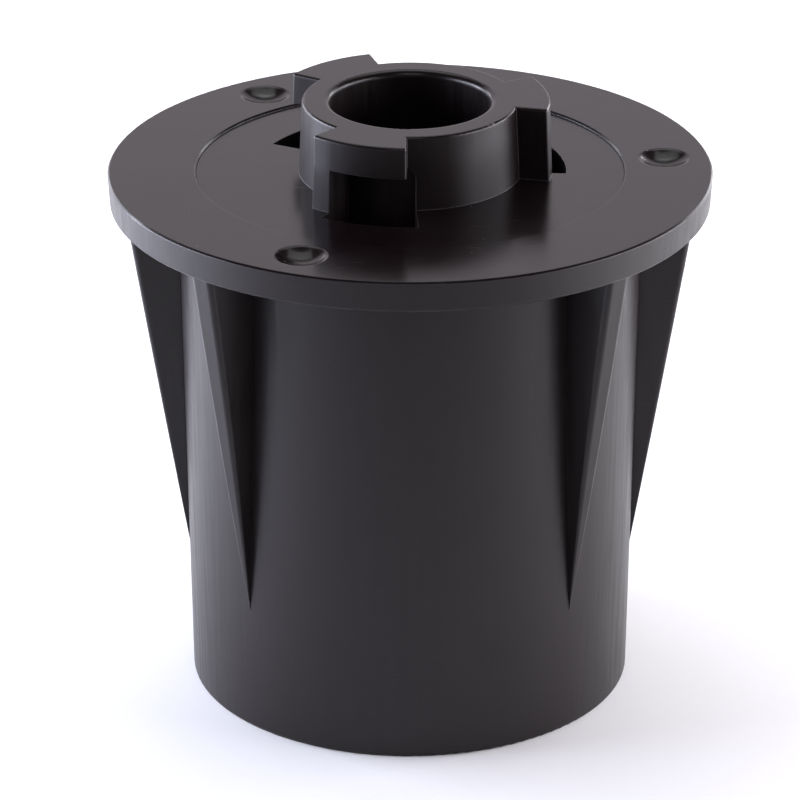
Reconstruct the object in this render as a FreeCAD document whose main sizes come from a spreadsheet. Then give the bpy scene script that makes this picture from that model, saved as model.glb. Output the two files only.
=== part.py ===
"""Deck-mounted protein skimmer pump body with a bayonet neck and a needle-wheel rotor.

The frame: millimetres, +Z up, -Y is the front, and the origin is the centre of the
bottom rim.  The body hangs through a hole by its flange.  Water and air come in through
the base, the needle wheel chops them up, and they rise round the motor to the neck.
"""

import FreeCAD, Part
import os

import Sketcher
from FreeCAD import Placement, Rotation, Vector

SIZES = {
    # the outer shell
    "flange_radius": 50.0,
    "flange_edge_draft": 0.3,
    "flange_top": 90.5,
    "flange_underside": 85.3,
    "flange_edge_bevel": 0.3,
    "barrel_foot_radius": 37.15,
    "barrel_neck_radius": 38.5,
    "barrel_inner_radius": 34.9,
    "barrel_edge_round": 0.6,
    "recess_edge_bevel": 0.3,
    "cap_seat_radius": 35.42,
    "cap_ledge": 86.2,
    "shelf_radius": 27.0,
    "shelf_underside": 42.0,
    "shelf_top": 46.0,
    # the gussets under the flange
    "gusset_root_radius": 36.4,
    "gusset_middle": 57.5,
    "gusset_tip": 22.0,
    "gusset_top_reach": 47.6,
    "gusset_middle_reach": 43.25,
    "gusset_tip_reach": 37.53,
    "gusset_top_width": 4.6,
    "gusset_middle_width": 3.5,
    "gusset_tip_width": 0.12,
    # the round sinks that mark the screw places on the flange
    "dimple_circle": 42.4,
    "dimple_ball": 6.6,
    "dimple_depth": 1.45,
    "dimple_edge_round": 0.8,
    # the neck cap
    "cap_radius": 35.4,
    "cap_top": 90.05,
    "cap_spigot_radius": 34.6,
    "cap_spigot_inner": 31.4,
    "cap_spigot_foot": 80.2,
    "cap_groove_low": 82.0,
    "cap_groove_high": 84.2,
    "groove_radius": 32.95,
    "boss_foot_radius": 18.4,
    "boss_top_radius": 17.8,
    "boss_top": 102.5,
    "boss_edge_round": 0.6,
    "neck_bore": 13.15,
    "neck_mouth_round": 1.1,
    # the bayonet lugs
    "lug_root": 16.6,
    "lug_foot_reach": 23.5,
    "lug_bar_reach": 23.2,
    "lug_top_reach": 23.0,
    "lug_bar_underside": 97.3,
    "lug_edge_round": 0.45,
    "rib_start": -133.0,
    "rib_sweep": 9.0,
    "bar_start": -126.0,
    "bar_sweep": 34.5,
    "window_start": -124.0,
    "window_sweep": 37.0,
    "window_reach": 25.8,
    "window_step": 19.4,
    "window_foot_wall": 18.1,
    "window_top_wall": 17.75,
    "window_corner_round": 2.0,
    # the seals
    "seal_circle": 33.9,
    "seal_section": 0.9,
    "neck_seal_height": 83.1,
    "base_seal_height": 13.3,
    # the motor pod
    "pod_radius": 21.5,
    "pod_inner": 19.9,
    "pod_floor": 34.0,
    "pod_floor_top": 36.0,
    "pod_rim": 70.0,
    "well_radius": 10.2,
    "well_outer": 11.6,
    "well_top": 62.0,
    "well_roof": 63.5,
    "seat_socket": 4.25,
    "seat_socket_top": 66.0,
    "seat_socket_outer": 5.6,
    "seat_socket_roof": 67.4,
    "ring_outer": 34.6,
    "pod_ring_low": 36.2,
    "pod_ring_high": 41.2,
    "vane_width": 1.8,
    "cable_vane_width": 5.6,
    "cable_bore": 1.5,
    "pod_cap_foot": 68.0,
    "pod_cap_seat": 70.15,
    "pod_cap_spigot": 19.7,
    "pod_cap_top": 76.5,
    "pod_cap_round": 5.5,
    # the sealed stator
    "core_outer": 19.6,
    "core_inner": 16.4,
    "core_low": 42.0,
    "core_high": 56.0,
    "tooth_tip": 12.0,
    "tooth_width": 3.2,
    "coil_inner": 12.7,
    "coil_outer": 15.8,
    "coil_width": 6.6,
    "coil_wall": 1.55,
    "coil_gap": 0.1,
    "resin_inner": 11.8,
    "resin_low": 58.4,
    "resin_high": 67.8,
    # the chamber ring and the screws
    "chamber_inner": 26.5,
    "fin_tip": 23.5,
    "fin_width": 1.6,
    "fin_top": 23.0,
    "screw_circle": 30.6,
    "screw_shank": 1.45,
    "screw_thread_hole": 1.5,
    "screw_clearance_hole": 1.7,
    "screw_end": 45.0,
    "screw_head": 2.8,
    "screw_head_height": 2.2,
    "screw_socket": 1.45,
    "screw_socket_depth": 1.3,
    # the base plate
    "base_low": 11.0,
    "base_high": 16.0,
    "base_groove_low": 12.2,
    "base_groove_high": 14.4,
    "throat_radius": 11.0,
    "spider_hub": 4.4,
    "spider_top": 17.5,
    "spoke_top": 15.0,
    "spoke_width": 2.2,
    # the intake screen
    "screen_low": 8.8,
    "screen_high": 10.9,
    "screen_radius": 13.2,
    "screen_slot_near": 3.4,
    "screen_slot_far": 10.6,
    "screen_slot_width": 1.9,
    "screen_leg_inner": 9.5,
    "screen_leg_outer": 10.8,
    "screen_leg_top": 14.4,
    "screen_leg_start": 48.0,
    "screen_leg_sweep": 24.0,
    "screen_edge_round": 0.6,
    # the air inlet
    "air_circle": 25.0,
    "air_neck": 3.0,
    "air_neck_hole": 3.05,
    "air_neck_top": 12.5,
    "air_collar": 4.3,
    "air_collar_low": 9.4,
    "air_tail": 2.4,
    "air_tail_end": 2.0,
    "air_bore": 1.3,
    "air_duct_height": 13.9,
    # the cable gland
    "cable_circle": 29.8,
    "cable_radius": 2.1,
    "cable_duct": 2.45,
    "gland_neck": 3.0,
    "gland_neck_hole": 3.05,
    "gland_neck_top": 15.8,
    "gland_collar": 4.4,
    "gland_collar_low": 9.0,
    "gland_thread": 3.2,
    "gland_thread_end": 3.6,
    "nut_bore": 3.25,
    "nut_high": 8.6,
    "nut_low": 2.4,
    "nut_shoulder": 3.4,
    "nut_edge_round": 0.8,
    # the shaft line
    "shaft_radius": 1.5,
    "shaft_low": 14.0,
    "shaft_high": 65.6,
    "low_seat_radius": 3.0,
    "low_seat_floor": 13.6,
    "low_seat_top": 18.2,
    "high_seat_radius": 4.2,
    "high_seat_foot": 61.9,
    "washer_bore": 1.56,
    "washer_thickness": 0.8,
    "low_washer_radius": 4.8,
    "low_washer_height": 18.5,
    "high_washer_radius": 3.6,
    "high_washer_height": 60.9,
    # the rotor
    "magnet_radius": 9.4,
    "magnet_bore": 4.55,
    "magnet_low": 36.0,
    "magnet_high": 60.0,
    "hub_bore": 2.8,
    "hub_foot": 19.6,
    "hub_stub": 3.9,
    "hub_cover": 6.6,
    "hub_cover_low": 30.2,
    "hub_cover_high": 31.4,
    "hub_neck": 4.8,
    "hub_flange": 9.2,
    "hub_flange_low": 34.6,
    "hub_flange_high": 35.9,
    "hub_sleeve": 4.5,
    "hub_top": 60.5,
    "dog_reach": 5.5,
    "dog_low": 24.5,
    "dog_high": 29.6,
    "dog_sweep": 40.0,
    "bush_outer": 2.77,
    "bush_bore": 1.54,
    "bush_length": 5.0,
    # the needle wheel
    "wheel_bore": 3.95,
    "wheel_hub": 7.4,
    "wheel_foot": 20.0,
    "wheel_pocket": 5.8,
    "wheel_pocket_floor": 23.9,
    "wheel_hub_top": 29.9,
    "wheel_radius": 18.0,
    "wheel_disc_low": 27.4,
    "wheel_disc_high": 29.0,
    "stop_inner": 4.2,
    "stop_start": 22.0,
    "needle_radius": 0.75,
    "needle_end": 19.2,
    "inner_needle_circle": 10.0,
    "middle_needle_circle": 13.4,
    "outer_needle_circle": 16.6,
}

BAYONET_COUNT = 3
SCREW_ANGLES = (90.0, 210.0, 330.0)
CABLE_ANGLE = 30.0
AIR_ANGLE = 150.0
POLE_COUNT = 6
SCREEN_SLOT_COUNT = 10
SCREEN_LEG_COUNT = 3
NEEDLE_ROWS = (("inner", 10), ("middle", 15), ("outer", 20))
DIMPLE_ANGLE = 6.0
GUSSET_ANGLES = (-45.0, 0.0, 45.0, 135.0, 180.0, 225.0)
GUSSET_CORNER_PART = 0.2

doc = FreeCAD.newDocument("skimmer_body")


class Size:
    """A length or angle: its value, and the expression that gives it from the sheet."""

    def __init__(self, value, text):
        self.value = value
        self.text = text

    def __add__(self, other):
        other = as_size(other)
        return Size(self.value + other.value, f"({self.text} + {other.text})")

    def __sub__(self, other):
        other = as_size(other)
        return Size(self.value - other.value, f"({self.text} - {other.text})")

    def __mul__(self, factor):
        return Size(self.value * factor, f"({self.text} * {factor})")

    def __neg__(self):
        return self * -1


def as_size(value):
    """A plain number as a Size, and a Size as it is."""
    if isinstance(value, Size):
        return value
    return Size(value, str(value))


def size(name):
    """The size with this name on the sheet."""
    return Size(SIZES[name], f"sizes.{name}")


def make_sheet():
    """The spreadsheet that holds every driving size."""
    sheet = doc.addObject("Spreadsheet::Sheet", "sizes")
    for row, (name, value) in enumerate(SIZES.items(), start=1):
        sheet.set(f"A{row}", name)
        sheet.set(f"B{row}", str(value))
        sheet.setAlias(f"B{row}", name)
    doc.recompute()
    return sheet


def new_body(label):
    """An empty body with the sub-part's name."""
    body = doc.addObject("PartDesign::Body", label)
    body.Label = label
    return body


def origin_part(body, role):
    """One of the body's own planes or axes."""
    for feature in body.Origin.OriginFeatures:
        if feature.Role == role:
            return feature
    raise ValueError(role)


def bind(thing, path, amount):
    """Ties one property of an object to the sheet."""
    thing.setExpression(path, as_size(amount).text)


def new_sketch(body, name, plane):
    """A sketch on one of the body's own planes."""
    sketch = body.newObject("Sketcher::SketchObject", name)
    sketch.AttachmentSupport = [(origin_part(body, plane), "")]
    sketch.MapMode = "FlatFace"
    return sketch


def place_point(sketch, line, end, point):
    """Ties one end of a line to its two coordinates."""
    for kind, axis, amount in (("DistanceX", -2, point[0]), ("DistanceY", -1, point[1])):
        amount = as_size(amount)
        if amount.value == 0.0:
            sketch.addConstraint(Sketcher.Constraint("PointOnObject", line, end, axis))
            continue
        index = sketch.addConstraint(Sketcher.Constraint(kind, -1, 1, line, end, amount.value))
        bind(sketch, f"Constraints[{index}]", amount)


def outline(sketch, points):
    """A closed outline of straight lines through the points."""
    points = [(as_size(x), as_size(y)) for x, y in points]
    count = len(points)
    lines = []
    for index in range(count):
        here = points[index]
        after = points[(index + 1) % count]
        start = Vector(here[0].value, here[1].value, 0)
        finish = Vector(after[0].value, after[1].value, 0)
        lines.append(sketch.addGeometry(Part.LineSegment(start, finish), False))
    for index, line in enumerate(lines):
        following = lines[(index + 1) % count]
        sketch.addConstraint(Sketcher.Constraint("Coincident", line, 2, following, 1))
    for line, point in zip(lines, points):
        place_point(sketch, line, 1, point)
    return lines


def ring_circle(sketch, centre, radius):
    """A circle at a point of the sketch."""
    across = as_size(centre[0])
    along = as_size(centre[1])
    radius = as_size(radius)
    middle = Vector(across.value, along.value, 0)
    circle = sketch.addGeometry(Part.Circle(middle, Vector(0, 0, 1), radius.value), False)
    place_point(sketch, circle, 3, (across, along))
    index = sketch.addConstraint(Sketcher.Constraint("Radius", circle, radius.value))
    bind(sketch, f"Constraints[{index}]", radius)
    return circle


def turn_sketch(sketch, angle):
    """Swings an upright sketch about the Z axis."""
    angle = as_size(angle)
    sketch.AttachmentOffset = Placement(Vector(), Rotation(Vector(0, 1, 0), angle.value))
    bind(sketch, "AttachmentOffset.Rotation.Angle", angle)


def lift_sketch(sketch, height, angle=0.0):
    """Lifts a flat sketch to a height, turned about the Z axis."""
    height = as_size(height)
    sketch.AttachmentOffset = Placement(Vector(0, 0, height.value), Rotation(Vector(0, 0, 1), angle))
    bind(sketch, "AttachmentOffset.Base.z", height)


def revolve(body, name, points, start=0.0, sweep=360.0, cut=False):
    """Turns an outline of (radius, height) points about the Z axis, to add or to cut."""
    sketch = new_sketch(body, f"{name}_outline", "XZ_Plane")
    turn_sketch(sketch, start)
    outline(sketch, points)
    kind = "PartDesign::Groove" if cut else "PartDesign::Revolution"
    feature = body.newObject(kind, name)
    feature.Profile = sketch
    feature.ReferenceAxis = (sketch, ["V_Axis"])
    feature.Angle = as_size(sweep).value
    bind(feature, "Angle", sweep)
    feature.Reversed = False
    doc.recompute()
    return feature


def pad(body, name, draw, height, length, angle=0.0):
    """Raises a flat sketch from a height."""
    sketch = new_sketch(body, f"{name}_outline", "XY_Plane")
    lift_sketch(sketch, height, angle)
    draw(sketch)
    feature = body.newObject("PartDesign::Pad", name)
    feature.Profile = sketch
    feature.Length = as_size(length).value
    bind(feature, "Length", length)
    doc.recompute()
    return feature


def pocket(body, name, draw, height, depth, angle=0.0, upward=True):
    """Cuts a flat sketch upward or downward from a height, and checks that it cut."""
    before = body.Shape.Volume
    sketch = new_sketch(body, f"{name}_outline", "XY_Plane")
    lift_sketch(sketch, height, angle)
    draw(sketch)
    feature = body.newObject("PartDesign::Pocket", name)
    feature.Profile = sketch
    feature.Length = as_size(depth).value
    bind(feature, "Length", depth)
    feature.Reversed = upward
    doc.recompute()
    if feature.Shape.Volume >= before - 0.01:
        raise ValueError(f"{name} cuts nothing")
    return feature


def polar(body, name, originals, count, total=360.0):
    """Repeats features about the Z axis."""
    pattern = body.newObject("PartDesign::PolarPattern", name)
    pattern.Originals = originals
    pattern.Axis = (origin_part(body, "Z_Axis"), [""])
    pattern.Angle = total
    pattern.Occurrences = count
    body.Tip = pattern
    doc.recompute()
    return pattern


def fillet(body, name, radius, wanted):
    """Rounds the edges of the body that the test picks."""
    base = body.Tip
    edges = []
    for index, edge in enumerate(base.Shape.Edges, start=1):
        if wanted(edge):
            edges.append(f"Edge{index}")
    if not edges:
        raise ValueError(f"{name} has no edges")
    feature = body.newObject("PartDesign::Fillet", name)
    feature.Base = (base, edges)
    feature.Radius = as_size(radius).value
    bind(feature, "Radius", radius)
    doc.recompute()
    if "Invalid" in feature.State or feature.Shape.isNull():
        raise ValueError(f"{name} can't be rounded")
    return feature


def is_rim(edge, radius, height):
    """Whether an edge is an arc about the Z axis with this radius at this height."""
    curve = edge.Curve
    if not isinstance(curve, Part.Circle):
        return False
    centre = curve.Center
    near_axis = abs(centre.x) < 0.01 and abs(centre.y) < 0.01
    return near_axis and abs(centre.z - height) < 0.02 and abs(curve.Radius - radius) < 0.02


def polar_point(radius, angle):
    """A point on a circle about the origin, as two Sizes."""
    direction = Rotation(Vector(0, 0, 1), angle).multVec(Vector(1, 0, 0))
    return (radius * round(direction.x, 9), radius * round(direction.y, 9))


def bolt_circle(sketch, radius, hole, angles):
    """A circle of holes."""
    for angle in angles:
        ring_circle(sketch, polar_point(radius, angle), hole)


def cross_bore(body, name, radius, reach_from, reach_to, height, angle):
    """A level bore that runs outward from the axis of the body."""
    before = body.Shape.Volume
    feature = body.newObject("PartDesign::SubtractiveCylinder", name)
    feature.Radius = radius.value
    feature.Height = (reach_to - reach_from).value
    bind(feature, "Radius", radius)
    bind(feature, "Height", reach_to - reach_from)
    outward = Rotation(Vector(0, 0, 1), angle)
    start = outward.multVec(Vector(reach_from.value, 0, height.value))
    along = outward.multiply(Rotation(Vector(0, 1, 0), 90))
    feature.AttachmentSupport = [(origin_part(body, "XY_Plane"), "")]
    feature.MapMode = "FlatFace"
    feature.AttachmentOffset = Placement(start, along)
    bind(feature, "AttachmentOffset.Base.z", height)
    doc.recompute()
    if feature.Shape.Volume >= before - 0.01:
        raise ValueError(f"{name} cuts nothing")
    return feature


def cylinder(name, radius, low, high, centre=(0.0, 0.0)):
    """An upright cylinder between two heights."""
    shape = doc.addObject("Part::Cylinder", name)
    bind(shape, "Radius", radius)
    bind(shape, "Height", as_size(high) - low)
    shape.Placement = Placement(Vector(0, 0, 0), Rotation())
    bind(shape, "Placement.Base.x", centre[0])
    bind(shape, "Placement.Base.y", centre[1])
    bind(shape, "Placement.Base.z", low)
    return shape


def cut(name, base, tool):
    """One shape less another."""
    result = doc.addObject("Part::Cut", name)
    result.Base = base
    result.Tool = tool
    return result


def tube(name, outer, inner, low, high, centre=(0.0, 0.0)):
    """A cylinder with a bore."""
    wall = cylinder(f"{name}_wall", outer, low, high, centre)
    bore = cylinder(f"{name}_bore", inner, low, high, centre)
    return cut(name, wall, bore)


def compound(label, pieces):
    """Separate solids of one kind that share a node."""
    group = doc.addObject("Part::Compound", label)
    group.Label = label
    group.Links = pieces
    return group


def section_corners(reach, width):
    """The four corners of a gusset's level section, root first."""
    root = size("gusset_root_radius")
    half = width * 0.5
    return [(root, -half), (reach, -half), (reach, half), (root, half)]


def gusset_section(body, name, height, reach, width, angle):
    """A level section of a gusset with its two outer corners rounded."""
    sketch = new_sketch(body, name, "XY_Plane")
    lift_sketch(sketch, height, angle)
    lines = outline(sketch, section_corners(reach, width))
    radius = width.value * GUSSET_CORNER_PART
    sketch.fillet(lines[0], 2, radius, True, True)
    sketch.fillet(lines[2], 1, radius, True, True)
    return sketch


def barrel_profile():
    """The outside of the barrel as a solid of revolution, up to where the cap rests."""
    return [
        (0, 0),
        (size("barrel_foot_radius"), 0),
        (size("barrel_neck_radius"), size("flange_underside")),
        (size("barrel_neck_radius"), size("cap_ledge")),
        (0, size("cap_ledge")),
    ]


def root_height():
    """How far the webs and the barrel run up into the flange."""
    return size("cap_ledge") - size("flange_underside")


def make_gusset(index, angle):
    """A web that tapers from the flange to a point, cut to fit the barrel's wall."""
    body = new_body(f"gusset_{index}")
    levels = (("top", "flange_underside"), ("middle", "gusset_middle"), ("tip", "gusset_tip"))
    sections = []
    for level, height in levels:
        sections.append(gusset_section(body, f"{level}_section", size(height),
                                       size(f"gusset_{level}_reach"),
                                       size(f"gusset_{level}_width"), angle))
    loft = body.newObject("PartDesign::AdditiveLoft", "web")
    loft.Profile = sections[0]
    loft.Sections = sections[1:]
    loft.Ruled = False
    doc.recompute()
    root = body.newObject("PartDesign::Pad", "root")
    root.Profile = gusset_section(body, "root_section", size("flange_underside"),
                                  size("gusset_top_reach"), size("gusset_top_width"), angle)
    root.Length = root_height().value
    bind(root, "Length", root_height())
    doc.recompute()
    before = body.Shape.Volume
    revolve(body, "barrel_side", barrel_profile(), cut=True)
    if body.Shape.Volume >= before - 0.01:
        raise ValueError("the gusset isn't cut to the barrel")
    return body


def make_housing_gussets():
    """Six webs under the flange, three to each side, none at the front or the back."""
    webs = [make_gusset(index, angle) for index, angle in enumerate(GUSSET_ANGLES)]
    return compound("housing_gussets", webs)


def make_housing_barrel():
    """The tapered barrel with the shelf that the pump is clamped under."""
    body = new_body("housing_barrel")
    revolve(body, "wall", [
        (size("barrel_foot_radius"), 0),
        (size("barrel_neck_radius"), size("flange_underside")),
        (size("barrel_neck_radius"), size("cap_ledge")),
        (size("barrel_inner_radius"), size("cap_ledge")),
        (size("barrel_inner_radius"), size("shelf_top")),
        (size("shelf_radius"), size("shelf_top")),
        (size("shelf_radius"), size("shelf_underside")),
        (size("barrel_inner_radius"), size("shelf_underside")),
        (size("barrel_inner_radius"), 0),
    ])
    rims = ((SIZES["barrel_foot_radius"], 0.0), (SIZES["barrel_inner_radius"], 0.0))
    fillet(body, "barrel_edges", size("barrel_edge_round"),
           lambda edge: any(is_rim(edge, radius, height) for radius, height in rims))
    pocket(body, "screw_holes",
           lambda sketch: bolt_circle(sketch, size("screw_circle"), size("screw_thread_hole"),
                                      SCREW_ANGLES),
           size("shelf_underside"), size("screw_end") - size("shelf_underside") + 0.4)
    return body


def make_housing_flange():
    """The flange on top of the barrel, with the cap's seat and three round sinks."""
    body = new_body("housing_flange")
    foot_radius = size("flange_radius") - size("flange_edge_draft")
    bevel = size("flange_edge_bevel")
    revolve(body, "ring", [
        (size("barrel_neck_radius"), size("flange_underside")),
        (foot_radius - bevel, size("flange_underside")),
        (foot_radius, size("flange_underside") + bevel),
        (size("flange_radius"), size("flange_top") - bevel),
        (size("flange_radius") - bevel, size("flange_top")),
        (size("cap_seat_radius") + size("recess_edge_bevel"), size("flange_top")),
        (size("cap_seat_radius"), size("flange_top") - size("recess_edge_bevel")),
        (size("cap_seat_radius"), size("cap_ledge")),
        (size("barrel_neck_radius"), size("cap_ledge")),
    ])
    for index, angle in enumerate(GUSSET_ANGLES):
        section = gusset_section(body, f"web_section_{index}", size("flange_underside"),
                                 size("gusset_top_reach"), size("gusset_top_width"), angle)
        socket = body.newObject("PartDesign::Pocket", f"web_socket_{index}")
        socket.Profile = section
        socket.Length = root_height().value
        bind(socket, "Length", root_height())
        socket.Reversed = True
    doc.recompute()
    dimple = body.newObject("PartDesign::SubtractiveSphere", "dimple")
    bind(dimple, "Radius", size("dimple_ball"))
    centre_height = size("flange_top") + size("dimple_ball") - size("dimple_depth")
    across, along = polar_point(size("dimple_circle"), DIMPLE_ANGLE)
    dimple.AttachmentSupport = [(origin_part(body, "XY_Plane"), "")]
    dimple.MapMode = "FlatFace"
    bind(dimple, "AttachmentOffset.Base.x", across)
    bind(dimple, "AttachmentOffset.Base.y", along)
    bind(dimple, "AttachmentOffset.Base.z", centre_height)
    doc.recompute()
    polar(body, "dimples", [dimple], BAYONET_COUNT)
    fillet(body, "dimple_edges", size("dimple_edge_round"), is_dimple_edge)
    return body


def is_dimple_edge(edge):
    """Whether an edge is the mouth of one of the round sinks."""
    box = edge.BoundBox
    flat = abs(box.ZMax - SIZES["flange_top"]) < 0.01 and box.ZLength < 0.01
    reach = Vector(box.Center.x, box.Center.y, 0).Length
    near = abs(reach - SIZES["dimple_circle"]) < 1.0
    return flat and near and box.XLength < 2 * SIZES["dimple_ball"]


def make_neck_cap():
    """The plug in the top of the barrel: neck, bayonet lugs and their windows."""
    body = new_body("neck_cap")
    revolve(body, "plug", [
        (size("neck_bore"), size("cap_ledge")),
        (size("cap_spigot_inner"), size("cap_ledge")),
        (size("cap_spigot_inner"), size("cap_spigot_foot")),
        (size("cap_spigot_radius"), size("cap_spigot_foot")),
        (size("cap_spigot_radius"), size("cap_groove_low")),
        (size("groove_radius"), size("cap_groove_low")),
        (size("groove_radius"), size("cap_groove_high")),
        (size("cap_spigot_radius"), size("cap_groove_high")),
        (size("cap_spigot_radius"), size("cap_ledge")),
        (size("cap_radius"), size("cap_ledge")),
        (size("cap_radius"), size("cap_top")),
        (size("boss_foot_radius"), size("cap_top")),
        (size("boss_top_radius"), size("boss_top")),
        (size("neck_bore"), size("boss_top")),
    ])
    rib = revolve(body, "lug_rib", [
        (size("lug_root"), size("cap_top") - 0.4),
        (size("lug_foot_reach"), size("cap_top") - 0.4),
        (size("lug_bar_reach"), size("lug_bar_underside")),
        (size("lug_top_reach"), size("boss_top")),
        (size("lug_root"), size("boss_top")),
    ], size("rib_start"), size("rib_sweep"))
    bar = revolve(body, "lug_bar", [
        (size("lug_root"), size("lug_bar_underside")),
        (size("lug_bar_reach"), size("lug_bar_underside")),
        (size("lug_top_reach"), size("boss_top")),
        (size("lug_root"), size("boss_top")),
    ], size("bar_start"), size("bar_sweep"))
    polar(body, "lugs", [rib, bar], BAYONET_COUNT)
    window = revolve(body, "lug_window", [
        (size("window_foot_wall"), size("cap_ledge") - 1.0),
        (size("window_reach"), size("cap_ledge") - 1.0),
        (size("window_reach"), size("cap_top") + 0.4),
        (size("window_step"), size("cap_top") + 0.4),
        (size("window_step"), size("lug_bar_underside")),
        (size("window_top_wall"), size("lug_bar_underside")),
    ], size("window_start"), size("window_sweep"), cut=True)
    polar(body, "lug_windows", [window], BAYONET_COUNT)
    fillet(body, "neck_mouth", size("neck_mouth_round"),
           lambda edge: is_rim(edge, SIZES["neck_bore"], SIZES["boss_top"]))
    fillet(body, "window_corners", size("window_corner_round"), is_window_corner)
    fillet(body, "lug_edges", size("lug_edge_round"), is_lug_edge)
    return body


def edge_reach(edge):
    """The least and greatest distance of an edge's ends and middle from the Z axis."""
    span = edge.LastParameter - edge.FirstParameter
    points = [edge.valueAt(edge.FirstParameter + span * part) for part in (0.0, 0.5, 1.0)]
    reaches = [Vector(point.x, point.y, 0).Length for point in points]
    return min(reaches), max(reaches)


def is_window_corner(edge):
    """Whether an edge is an upper inside corner of the sink in the neck's wall."""
    box = edge.BoundBox
    near, far = edge_reach(edge)
    flat = box.ZLength < 0.01 and abs(box.ZMax - SIZES["lug_bar_underside"]) < 0.01
    short = 0.05 < far - near < 1.0 and far < SIZES["boss_foot_radius"]
    return flat and short and isinstance(edge.Curve, Part.Line)


def is_lug_edge(edge):
    """Whether an edge is an outer top edge of the neck, or an upright end edge of a lug."""
    box = edge.BoundBox
    near, far = edge_reach(edge)
    on_top = box.ZLength < 0.01 and abs(box.ZMax - SIZES["boss_top"]) < 0.01
    outer_top = on_top and near > SIZES["boss_top_radius"] - 0.05
    to_top = box.ZLength > 3.0 and abs(box.ZMax - SIZES["boss_top"]) < 0.01
    upright = to_top and near > SIZES["lug_top_reach"] - 0.1
    return outer_top or upright


def make_seal(label, height):
    """A rubber ring in its groove."""
    ring = doc.addObject("Part::Torus", label)
    ring.Label = label
    bind(ring, "Radius1", size("seal_circle"))
    bind(ring, "Radius2", size("seal_section"))
    bind(ring, "Placement.Base.z", height)
    return ring


def slab(near, far, width):
    """Draws a bar that runs outward along +X of its sketch."""
    half = width * 0.5
    return lambda sketch: outline(sketch, [(near, -half), (far, -half), (far, half), (near, half)])


def make_motor_housing():
    """The pod: can, rotor well, vanes and the ring that clamps under the shelf."""
    body = new_body("motor_housing")
    revolve(body, "can", [
        (0, size("seat_socket_top")),
        (size("seat_socket"), size("seat_socket_top")),
        (size("seat_socket"), size("well_top")),
        (size("well_radius"), size("well_top")),
        (size("well_radius"), size("pod_floor")),
        (size("pod_radius"), size("pod_floor")),
        (size("pod_radius"), size("pod_rim")),
        (size("pod_inner"), size("pod_rim")),
        (size("pod_inner"), size("pod_floor_top")),
        (size("well_outer"), size("pod_floor_top")),
        (size("well_outer"), size("well_roof")),
        (size("seat_socket_outer"), size("well_roof")),
        (size("seat_socket_outer"), size("seat_socket_roof")),
        (0, size("seat_socket_roof")),
    ])
    vane_height = size("pod_ring_high") - size("pod_ring_low")
    vane_root = size("pod_inner") + 0.8
    vane_end = size("shelf_radius") + 1.0
    vane = pad(body, "vane", slab(vane_root, vane_end, size("vane_width")),
               size("pod_ring_low"), vane_height, CABLE_ANGLE)
    polar(body, "vanes", [vane], POLE_COUNT)
    pad(body, "cable_vane", slab(vane_root, vane_end, size("cable_vane_width")),
        size("pod_ring_low"), vane_height, CABLE_ANGLE)
    revolve(body, "clamp_ring", [
        (size("shelf_radius"), size("pod_ring_low")),
        (size("ring_outer"), size("pod_ring_low")),
        (size("ring_outer"), size("pod_ring_high")),
        (size("shelf_radius"), size("pod_ring_high")),
    ])
    pocket(body, "screw_holes",
           lambda sketch: bolt_circle(sketch, size("screw_circle"), size("screw_clearance_hole"),
                                      SCREW_ANGLES),
           size("pod_ring_low") - 1, vane_height + 2)
    middle = (size("pod_ring_low") + size("pod_ring_high")) * 0.5
    cross_bore(body, "cable_way", size("cable_bore"), size("pod_inner") - 0.5,
               size("cable_circle"), middle, CABLE_ANGLE)
    pocket(body, "cable_riser",
           lambda sketch: bolt_circle(sketch, size("cable_circle"), size("cable_duct"),
                                      (CABLE_ANGLE,)),
           size("pod_ring_low") - 1, middle - size("pod_ring_low") + 2.5)
    return body


def make_motor_cap():
    """The domed lid of the pod."""
    body = new_body("motor_cap")
    revolve(body, "dome", [
        (0, size("pod_cap_foot")),
        (size("pod_cap_spigot"), size("pod_cap_foot")),
        (size("pod_cap_spigot"), size("pod_cap_seat")),
        (size("pod_radius"), size("pod_cap_seat")),
        (size("pod_radius"), size("pod_cap_top")),
        (0, size("pod_cap_top")),
    ])
    fillet(body, "dome_edge", size("pod_cap_round"),
           lambda edge: is_rim(edge, SIZES["pod_radius"], SIZES["pod_cap_top"]))
    return body


def make_stator_core():
    """The laminated ring with its teeth."""
    body = new_body("stator_core")
    revolve(body, "yoke", [
        (size("core_inner"), size("core_low")),
        (size("core_outer"), size("core_low")),
        (size("core_outer"), size("core_high")),
        (size("core_inner"), size("core_high")),
    ])
    tooth = pad(body, "tooth", slab(size("tooth_tip"), size("core_inner") + 0.6, size("tooth_width")),
                size("core_low"), size("core_high") - size("core_low"))
    polar(body, "teeth", [tooth], POLE_COUNT)
    return body


def block(name, near, far, width, low, high, angle):
    """A box that runs outward from the axis at an angle."""
    shape = doc.addObject("Part::Box", name)
    bind(shape, "Length", far - near)
    bind(shape, "Width", width)
    bind(shape, "Height", high - low)
    turned = Rotation(Vector(0, 0, 1), angle)
    corner = turned.multVec(Vector(near.value, -width.value / 2, 0))
    shape.Placement = Placement(corner, turned)
    bind(shape, "Placement.Base.z", low)
    return shape


def make_stator_coils():
    """One wound coil on each tooth."""
    coils = []
    hole_width = size("tooth_width") + size("coil_gap") * 2
    for index in range(POLE_COUNT):
        angle = index * 360.0 / POLE_COUNT
        low = size("core_low") - size("coil_gap")
        high = size("core_high") + size("coil_gap")
        wound = block(f"coil_block_{index}", size("coil_inner"), size("coil_outer"),
                      size("coil_width"), low - size("coil_wall"), high + size("coil_wall"), angle)
        hole = block(f"coil_hole_{index}", size("coil_inner"), size("coil_outer"),
                     hole_width, low, high, angle)
        coils.append(cut(f"coil_{index}", wound, hole))
    return compound("stator_coils", coils)


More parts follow.
